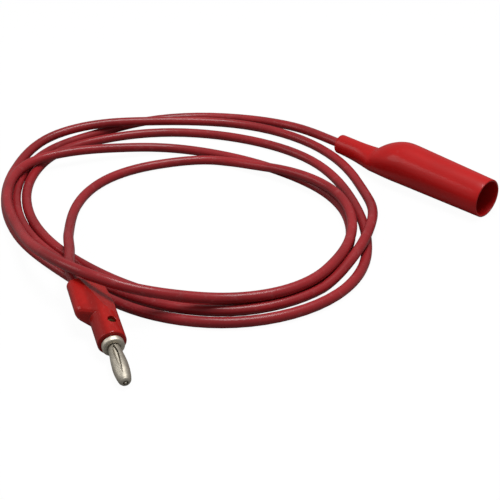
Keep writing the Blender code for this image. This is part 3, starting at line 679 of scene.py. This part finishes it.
def boot_section(sizes, station, less=0.0):
    """One outer section: station, centre height, half width and half height."""
    neck = sizes.neck_diameter / 2
    bulge = sizes.bulge_diameter / 2
    taper = max((station - sizes.bulge_start) / (sizes.length - sizes.bulge_start), 0)
    radius = bulge + (sizes.mouth_diameter / 2 - bulge) * taper
    across = neck + (radius - neck) * eased(station, sizes.spread_start, sizes.bulge_start)
    bottom = (NECK_HEIGHT - neck) * (1 - eased(station, 0, sizes.neck_length))
    hump = min(max((station - sizes.hump_start) / sizes.hump_length, 0), 1)
    top = NECK_HEIGHT + neck + (2 * radius - NECK_HEIGHT - neck) * (1 - (1 - hump) ** 2.2)
    return station, (top + bottom) / 2, across - less, (top - bottom) / 2 - less


def boot_outside(sizes):
    """Outer sections from the neck's end, with its edge rounded, to the mouth."""
    sections = [
        boot_section(sizes, 0, 0.4 * MM),
        boot_section(sizes, 0.08 * MM, 0.2 * MM),
        boot_section(sizes, 0.22 * MM, 0.07 * MM),
        boot_section(sizes, 0.45 * MM),
    ]
    hump_end = sizes.hump_start + sizes.hump_length
    last = sizes.length - RIM_ROUND
    for start, end, steps in (
        (0.45 * MM, sizes.hump_start, 14),
        (sizes.hump_start, hump_end, 26),
        (hump_end, last, 12),
    ):
        for i in range(1, steps + 1):
            sections.append(boot_section(sizes, start + (end - start) * i / steps))
    return sections


class PATCHCORD_OT_boot(bpy.types.Operator):
    """Draws the boot's outside from neck to mouth, rolls its rim and turns back along the inside"""

    bl_idname = "patchcord.boot"
    bl_label = "Boot"

    def execute(self, context):
        sizes = context.scene.boot_sizes
        outer = boot_outside(sizes)
        wall = sizes.wall
        station, centre, across, up = outer[-1]
        rim = []
        for i in range(1, 9):
            turn = math.pi * i / 8
            less = wall / 2 * (1 - math.cos(turn))
            rim.append((station + RIM_ROUND * math.sin(turn), centre, across - less, up - less))
        inner = [(s, h, a - wall, u - wall) for s, h, a, u in outer[:-1] if s > sizes.hump_start]
        inner = inner[::-1] + [
            (0.015, NECK_HEIGHT, 2.7 * MM, 2.7 * MM),
            (0.014, NECK_HEIGHT, CORD_BORE, CORD_BORE),
            (0.3 * MM, NECK_HEIGHT, CORD_BORE, CORD_BORE),
            (0, NECK_HEIGHT, CORD_BORE + 0.15 * MM, CORD_BORE + 0.15 * MM),
            outer[0],
        ]
        mesh = lofted_shell(outer + rim + inner, 96)
        boot = add_piece(
            "clip_boot_skin", mesh, boot_finish(sizes.colour[:]), nodes=["clip_boot"]
        )
        boot.data.set_sharp_from_angle(angle=math.radians(60))
        return {"FINISHED"}


class PATCHCORD_OT_moulding(bpy.types.Operator):
    """Rounds the plug body's edges as a mould leaves them"""

    bl_idname = "patchcord.moulding"
    bl_label = "Plug moulding"

    def execute(self, context):
        sizes = context.scene.plug_sizes
        blank = bpy.data.objects.new("moulding_blank", merged_copy("plug_body"))
        context.scene.collection.objects.link(blank)
        remesh = blank.modifiers.new("skin", "REMESH")
        remesh.mode = "VOXEL"
        remesh.voxel_size = 0.16 * MM
        smooth = blank.modifiers.new("soften", "SMOOTH")
        smooth.factor = 0.5
        smooth.iterations = 4
        add_piece(
            "plug_moulding",
            baked(blank),
            moulding_finish(sizes.colour[:]),
            nodes=["plug_body"],
        )
        return {"FINISHED"}


def turned_mesh(name, profile, steps):
    """A turned piece round the plug's axis; the profile lists (x, radius) from tip to tail."""
    shape = bmesh.new()
    verts = [shape.verts.new((x, 0, radius)) for x, radius in profile]
    edges = [shape.edges.new(pair) for pair in zip(verts, verts[1:])]
    bmesh.ops.spin(
        shape,
        geom=verts + edges,
        cent=(0, 0, 0),
        axis=(1, 0, 0),
        angle=2 * math.pi,
        steps=steps,
        use_merge=True,
    )
    bmesh.ops.remove_doubles(shape, verts=shape.verts, dist=1e-7)
    bmesh.ops.recalc_face_normals(shape, faces=shape.faces)
    shape.transform(PLUG_MATRIX)
    mesh = bpy.data.meshes.new(name)
    shape.to_mesh(mesh)
    shape.free()
    return mesh


def leaf_radius(along, ring, belly):
    """Radius of the bowed leaves at a share of the way from the rear ring to the nose."""
    bow = math.sin(math.pi * ((1 - along) ** 0.85 + 0.05) / 1.05)
    return ring + (belly - ring) * bow


def leaf_gap(along, half):
    """Half the slot's width at a share of the way from the rear ring to the nose."""
    places = (0.04, 0.06, 0.14, 0.25, 0.4, 0.6, 0.8, 0.93, 0.95)
    widths = (0, 0.25, 0.6, 1.0, 1.0, 0.75, 0.4, 0.12, 0)
    return half * float(np.interp(along, places, widths))


class PATCHCORD_OT_pin(bpy.types.Operator):
    """Turns the plug's core and bows the four leaves of its contact spring round the stud"""

    bl_idname = "patchcord.pin"
    bl_label = "Plug pin"

    def execute(self, context):
        sizes = context.scene.plug_sizes
        collar_back = 0.3 * MM
        front = collar_back + sizes.collar_length
        tip = front + sizes.pin_length
        collar = sizes.collar_diameter / 2
        stud = sizes.stud_diameter / 2
        profile = [
            (tip, 0),
            (tip - 0.03 * MM, 0.16 * MM),
            (tip - 0.1 * MM, 0.29 * MM),
            (tip - 0.3 * MM, 0.39 * MM),
            (tip - 1.8 * MM, 0.4 * MM),
            (tip - 2.4 * MM, stud),
            (front - 0.5 * MM, stud),
            (front - 0.5 * MM, 1.9 * MM),
            (front - 0.42 * MM, 1.97 * MM),
            (front - 0.1 * MM, 2.0 * MM),
            (front, 2.1 * MM),
            (front, collar - 0.4 * MM),
            (front - 0.1 * MM, collar - 0.15 * MM),
            (front - 0.35 * MM, collar),
            (collar_back + 0.15 * MM, collar),
            (collar_back, collar - 0.15 * MM),
            (collar_back, SHANK),
            (-14.1 * MM, SHANK),
            (-14.5 * MM, SHANK - 0.4 * MM),
            (-14.5 * MM, 0),
        ]
        nickel = turned_metal("nickel_turned", sizes.nickel[:], PLUG_MATRIX)
        core = add_piece(
            "collar_and_stud",
            turned_mesh("collar_and_stud", profile, 96),
            nickel,
            nodes=["plug_core"],
        )
        core.data.set_sharp_from_angle(angle=math.radians(40))
        # painted shade: the leaves wear a copy of the collar's nickel plating shaded to three quarters
        shaded_leaf_nickel = turned_metal("nickel_leaf", shade(sizes.nickel, 0.75), PLUG_MATRIX, 0.6, 0.5)
        self.add_leaves(context, sizes, front - 0.2 * MM, tip - 0.2 * MM, shaded_leaf_nickel)
        return {"FINISHED"}

    def add_leaves(self, context, sizes, rear, front, nickel):
        """Four strips whose edges meet in the rear ring and in the nose."""
        nose_start = front - NOSE_LENGTH
        ring = REAR_RING - LEAF_WALL / 2
        belly = sizes.leaf_diameter / 2 - LEAF_WALL / 2
        hole = NOSE_HOLE + LEAF_WALL / 2
        length = front - SLOTS_END - rear
        rows, cols = 56, 16
        shape = bmesh.new()
        for quarter in range(4):
            strip = bmesh.ops.create_grid(
                shape, x_segments=rows, y_segments=cols, size=0.5
            )["verts"]
            for vert in strip:
                u = vert.co.x + 0.5
                v = vert.co.y + 0.5
                if u < NOSE_SHARE:
                    x = rear + (nose_start - rear) * u / NOSE_SHARE
                    radius = leaf_radius(u / NOSE_SHARE, ring, belly)
                else:
                    turn = (u - NOSE_SHARE) / (1 - NOSE_SHARE) * math.pi / 2
                    x = nose_start + (NOSE_LENGTH - LEAF_WALL / 2) * math.sin(turn)
                    radius = hole + (ring - hole) * math.cos(turn)
                gap = leaf_gap((x - rear) / length, sizes.slot_width / 2) / radius
                start = math.radians(FIRST_SLOT + 90 * quarter) + gap
                angle = start + (math.pi / 2 - 2 * gap) * v
                vert.co = (x, radius * math.cos(angle), radius * math.sin(angle))
        bmesh.ops.remove_doubles(shape, verts=shape.verts, dist=0.004 * MM)
        bmesh.ops.recalc_face_normals(shape, faces=shape.faces)
        shape.transform(PLUG_MATRIX)
        mesh = bpy.data.meshes.new("leaf_blank")
        shape.to_mesh(mesh)
        shape.free()
        blank = bpy.data.objects.new("leaf_blank", mesh)
        context.scene.collection.objects.link(blank)
        thick = blank.modifiers.new("wall", "SOLIDIFY")
        thick.thickness = LEAF_WALL
        thick.offset = 0
        edge = blank.modifiers.new("edge", "BEVEL")
        edge.width = 0.07 * MM
        edge.segments = 2
        edge.limit_method = "ANGLE"
        edge.angle_limit = math.radians(50)
        add_piece(
            "contact_leaves", baked(blank), nickel, nodes=["contact_spring"]
        )


class PATCHCORD_OT_wiring(bpy.types.Operator):
    """Finishes the clamping screws and the bared wires"""

    bl_idname = "patchcord.wiring"
    bl_label = "Screws and wires"

    def execute(self, context):
        brass = turned_metal("dark_brass", (0.16, 0.1, 0.04), PLUG_MATRIX, 0.7, 0.38)
        copper = strand_finish()
        dressed("plug_clamp_screw", "clamp_screw", brass, 0.08 * MM)
        dressed("plug_bared_wire", "plug_conductor", copper, 0.05 * MM)
        dressed("clip_bared_wire", "clip_conductor", copper, 0.05 * MM)
        return {"FINISHED"}


class PATCHCORD_OT_clip(bpy.types.Operator):
    """Breaks the edges of the clip's folded jaws, rivet, spring and screw and plates them"""

    bl_idname = "patchcord.clip"
    bl_label = "Clip"

    def execute(self, context):
        steel = sheet_metal("plated_steel", (0.55, 0.55, 0.56))
        wire = sheet_metal("spring_wire", (0.4, 0.4, 0.42), (1, 0.2, 1), 0.25)
        for name, node, edge, body, metal in (
            ("clip_jaw_fixed", "clip_lower_jaw", 0.1, "lead", steel),
            ("clip_jaw_moving", "clip_upper_jaw", 0.1, "upper_jaw", steel),
            ("clip_rivet", "clip_pivot", 0.06, "lead", steel),
            ("clip_coil_spring", "clip_spring", 0.04, "lead", wire),
            ("clip_clamp_screw", "clip_screw", 0.06, "lead", steel),
        ):
            dressed(name, node, metal, edge * MM, body)
        return {"FINISHED"}


def add_lamp(name, place, size, power):
    light = bpy.data.lights.new(name, "AREA")
    light.shape = "RECTANGLE"
    light.size, light.size_y = size
    light.energy = power
    lamp = bpy.data.objects.new(name, light)
    lamp.location = place
    lamp.rotation_euler = (Vector(MIDDLE) - Vector(place)).to_track_quat("-Z", "Y").to_euler()
    bpy.context.scene.collection.objects.link(lamp)


class PATCHCORD_OT_stage(bpy.types.Operator):
    """Sets the camera, the pale floor, the room and the softboxes"""

    bl_idname = "patchcord.stage"
    bl_label = "Stage"

    def execute(self, context):
        scene = context.scene
        sizes = scene.stage_sizes
        camera = bpy.data.objects.new("camera", bpy.data.cameras.new("camera"))
        camera.data.lens = sizes.lens
        camera.data.sensor_width = 36
        camera.location = EYE
        camera.rotation_euler = (AIM - EYE).to_track_quat("-Z", "Y").to_euler()
        scene.collection.objects.link(camera)
        scene.camera = camera
        scene.view_settings.view_transform = "Standard"
        self.add_floor(sizes)
        self.add_room(scene, sizes)
        add_lamp("softbox_top", *TOP_SOFTBOX, sizes.top_lamp)
        add_lamp("softbox_side", *SIDE_SOFTBOX, sizes.side_lamp)
        return {"FINISHED"}

    def add_floor(self, sizes):
        """A wide sheet of pale paper that keeps the shadow and fades into the background."""
        shape = bmesh.new()
        bmesh.ops.create_grid(shape, x_segments=1, y_segments=1, size=3)
        bmesh.ops.translate(shape, verts=shape.verts, vec=(0, 0, -0.00005))
        mesh = bpy.data.meshes.new("floor")
        shape.to_mesh(mesh)
        shape.free()
        floor = bpy.data.objects.new("floor", mesh)
        bpy.context.scene.collection.objects.link(floor)
        finish = Finish("floor_paper")
        seen = finish.node("ShaderNodeLightPath", output="Is Camera Ray")
        through = finish.node("ShaderNodeLightPath", output="Is Transmission Ray")
        glow = finish.node("ShaderNodeEmission", sockets={"Color": (1, 1, 1), "Strength": 1.2})
        paper = finish.wear({"Base Color": sizes.floor_colour[:], "Roughness": 0.9})
        finish.shader.inputs["Specular IOR Level"].default_value = 0
        shader = Value(finish, finish.shader.outputs[0])
        amount = (seen + through) * 0.8
        blend = finish.node("ShaderNodeMixShader", sockets={0: amount, 1: shader, 2: glow})
        output = finish.tree.nodes["Material Output"]
        finish.tree.links.new(blend.socket, output.inputs["Surface"])
        mesh.materials.append(paper)

    def add_room(self, scene, sizes):
        """An even pale room that the camera sees as white."""
        world = bpy.data.worlds.new("room")
        world.use_nodes = True
        scene.world = world
        tree = world.node_tree
        path = tree.nodes.new("ShaderNodeLightPath")
        seen = tree.nodes.new("ShaderNodeMath")
        seen.operation = "MAXIMUM"
        tree.links.new(path.outputs["Is Camera Ray"], seen.inputs[0])
        tree.links.new(path.outputs["Is Transmission Ray"], seen.inputs[1])
        strength = tree.nodes.new("ShaderNodeMapRange")
        strength.inputs["To Min"].default_value = sizes.room_light
        strength.inputs["To Max"].default_value = 1.0
        tree.links.new(seen.outputs[0], strength.inputs["Value"])
        room = tree.nodes["Background"]
        room.inputs["Color"].default_value = (1, 1, 1, 1)
        tree.links.new(strength.outputs[0], room.inputs["Strength"])


class PATCHCORD_PT_panel(bpy.types.Panel):
    """Lists the patch cord's pieces and its sizes"""

    bl_idname = "PATCHCORD_PT_panel"
    bl_label = "Patch cord"
    bl_space_type = "VIEW_3D"
    bl_region_type = "UI"
    bl_category = "Patch cord"

    def draw(self, context):
        layout = self.layout
        for label, group, names in (
            ("Cord", "cord_sizes", ("diameter", "length", "colour")),
            ("Boot", "boot_sizes", ("length", "wall", "bulge_diameter", "mouth_diameter", "colour")),
            ("Plug", "plug_sizes", ("pin_length", "leaf_diameter", "slot_width", "colour", "nickel")),
            ("Stage", "stage_sizes", ("lens", "room_light", "top_lamp", "floor_colour")),
        ):
            box = layout.box()
            box.label(text=label)
            for name in names:
                box.prop(getattr(context.scene, group), name)
        for operator in OPERATORS:
            layout.operator(operator.bl_idname)


GROUPS = {
    "cord_sizes": CordSizes,
    "boot_sizes": BootSizes,
    "plug_sizes": PlugSizes,
    "stage_sizes": StageSizes,
}
OPERATORS = (
    PATCHCORD_OT_stage,
    PATCHCORD_OT_boot,
    PATCHCORD_OT_moulding,
    PATCHCORD_OT_pin,
    PATCHCORD_OT_wiring,
    PATCHCORD_OT_clip,
    PATCHCORD_OT_cord,
)


def register():
    for name, group in GROUPS.items():
        bpy.utils.register_class(group)
        setattr(bpy.types.Scene, name, PointerProperty(type=group))
    for operator in OPERATORS:
        bpy.utils.register_class(operator)
    bpy.utils.register_class(PATCHCORD_PT_panel)


def unregister():
    bpy.utils.unregister_class(PATCHCORD_PT_panel)
    for operator in reversed(OPERATORS):
        bpy.utils.unregister_class(operator)
    for name, group in GROUPS.items():
        delattr(bpy.types.Scene, name)
        bpy.utils.unregister_class(group)


def main():
    register()
    bpy.ops.patchcord.stage()
    bpy.ops.patchcord.boot()
    bpy.ops.patchcord.moulding()
    bpy.ops.patchcord.pin()
    bpy.ops.patchcord.wiring()
    bpy.ops.patchcord.clip()
    bpy.ops.patchcord.cord()


if __name__ == "__main__":
    main()
